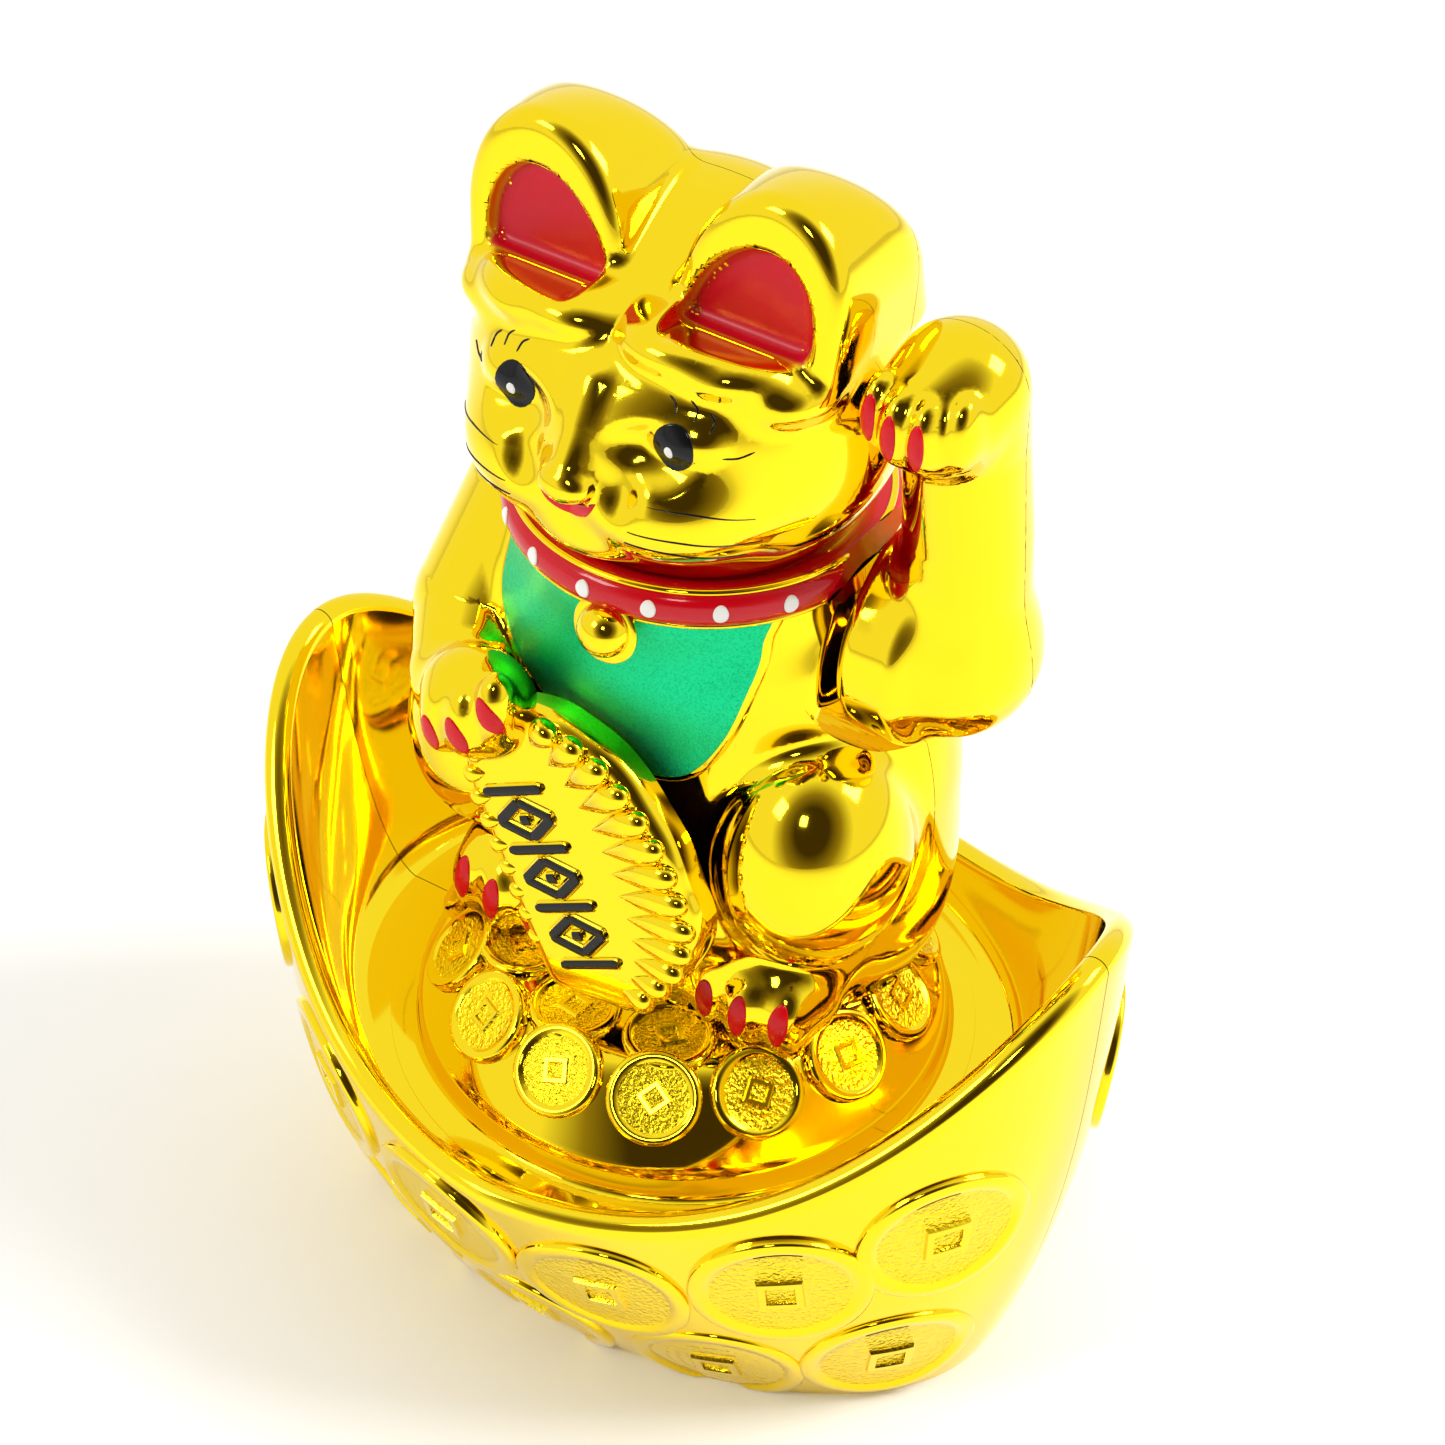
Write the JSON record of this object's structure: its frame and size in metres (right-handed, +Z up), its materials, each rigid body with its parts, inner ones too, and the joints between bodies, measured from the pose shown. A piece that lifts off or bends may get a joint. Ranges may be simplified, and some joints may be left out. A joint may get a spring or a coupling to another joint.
{
  "type": "beckoning cat figurine",
  "caption": "Gold-plated beckoning cat seated on coins in a boat-shaped ingot, its arm waved by a coil-driven pendulum.",
  "frame": {"origin": "centre of the underside", "axes": "+Z up, the cat looks along -Y, its left side and waving arm are at +X"},
  "size_m": [0.1372, 0.1072, 0.1963],
  "materials": {
    "gold_plating": "vacuum-plated gold plastic, mirror gloss",
    "zinc_steel": "zinc plated",
    "ivory_plastic": "moulded plastic",
    "copper_wire": "enamelled copper",
    "board_green": "printed board",
    "black_plastic": "moulded plastic",
    "capacitor_sleeve": "shrink sleeve",
    "spring_steel": "nickel plated",
    "cell_jacket": "printed steel jacket",
    "red_insulation": "cable insulation",
    "black_insulation": "cable insulation",
    "magnet_nickel": "nickel plated",
    "red_lacquer": "gloss red paint",
    "green_glitter": "metallic green paint",
    "black_paint": "gloss black paint",
    "white_paint": "gloss white paint"
  },
  "bodies": {
    "root": {"ingot_front_shell": "gold_plating", "ingot_rear_shell": "gold_plating", "coin_bed": "gold_plating", "base_plate": "gold_plating", "long_screws": "zinc_steel", "cat_front_shell": "gold_plating", "cat_rear_shell": "gold_plating", "pivot_bracket": "ivory_plastic", "short_screws": "zinc_steel", "coil_bobbin": "ivory_plastic", "coil_winding": "copper_wire", "circuit_board": "board_green", "transistor": "black_plastic", "capacitor": "capacitor_sleeve", "coil_leads": "copper_wire", "contact_plate": "spring_steel", "contact_spring": "spring_steel", "dry_cell": "cell_jacket", "cell_lead_red": "red_insulation", "cell_lead_black": "black_insulation", "switch_body": "black_plastic"},
    "arm": {"arm_front_shell": "gold_plating", "arm_rear_shell": "gold_plating", "arm_axle": "spring_steel", "pendulum_lever": "ivory_plastic", "counterweight": "zinc_steel", "swing_magnet": "magnet_nickel"},
    "battery_door": {"battery_door": "gold_plating"},
    "switch_knob": {"switch_knob": "black_plastic"}
  },
  "joints": [
    {"name": "arm_swing", "type": "hinge", "parent": "root", "child": "arm", "pos_m": [0.013, 0.006, 0.125], "axis": [1, 0, 0], "range_deg": [-15, 15]},
    {"name": "door_lift", "type": "slide", "parent": "root", "child": "battery_door", "axis": [0, 0, -1], "range_m": [0, 0.03]},
    {"name": "switch_slide", "type": "slide", "parent": "root", "child": "switch_knob", "axis": [1, 0, 0], "range_m": [0, 0.003]}
  ]
}
